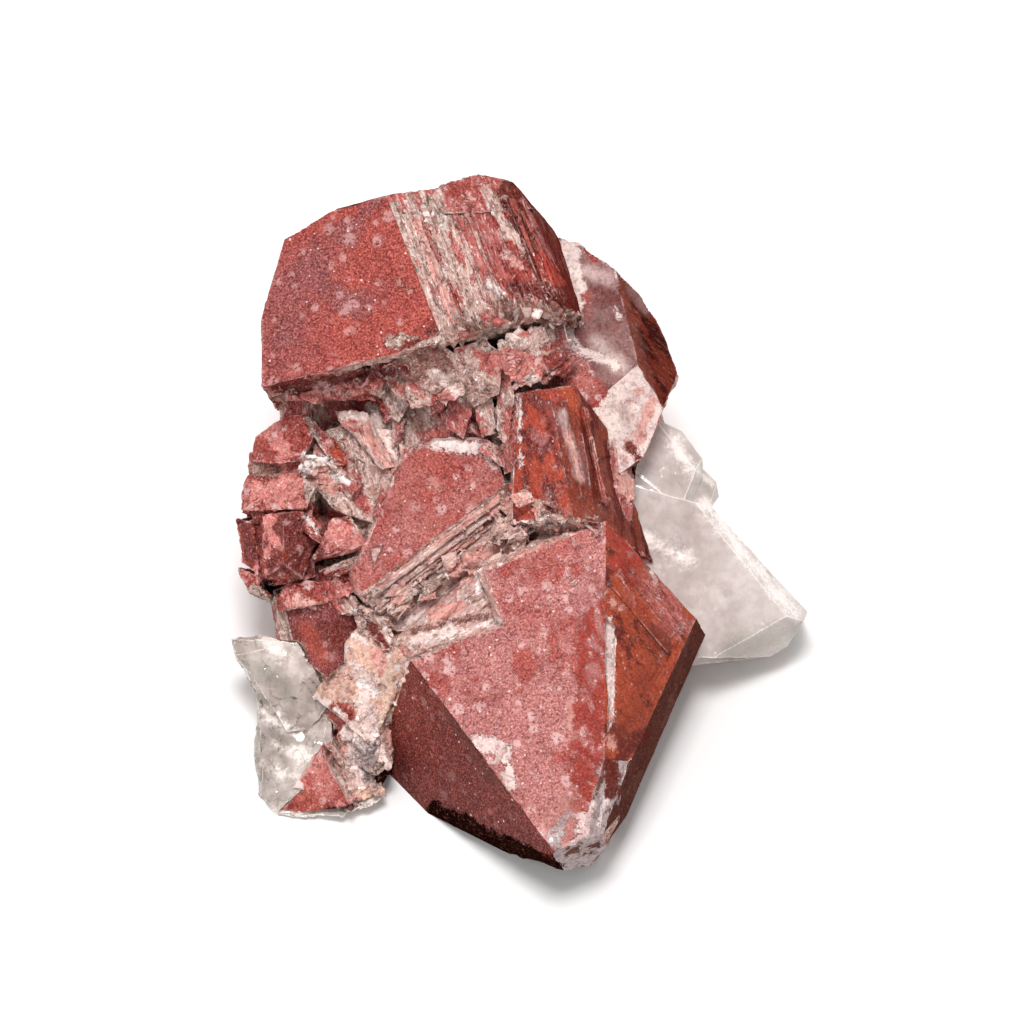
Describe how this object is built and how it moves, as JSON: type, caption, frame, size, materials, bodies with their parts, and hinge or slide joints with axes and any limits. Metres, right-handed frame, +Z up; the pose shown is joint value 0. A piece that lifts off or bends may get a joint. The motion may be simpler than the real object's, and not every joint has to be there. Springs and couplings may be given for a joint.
{
  "type": "red quartz cluster",
  "caption": "Hand-sized cluster of blunt red quartz crystals grown together on broken vein stone, with a clear point at one side; rests on its flat broken base.",
  "frame": {"origin": "on the flat broken base, straight under the middle of the face that one looks at", "axes": "+Z up out of the base, +Y towards the back and along the longest extent, +X to the right as seen from the front; the large blunt crystal points to the front (-Y)"},
  "size_m": [0.0576, 0.0726, 0.0409],
  "materials": {
    "red_quartz": "iron-stained quartz, dusty on the end faces and glassy on the prism faces",
    "clear_quartz": "clear to milky quartz with a glassy lustre"
  },
  "bodies": {
    "root": {"quartz_cluster": "red_quartz"}
  },
  "joints": []
}
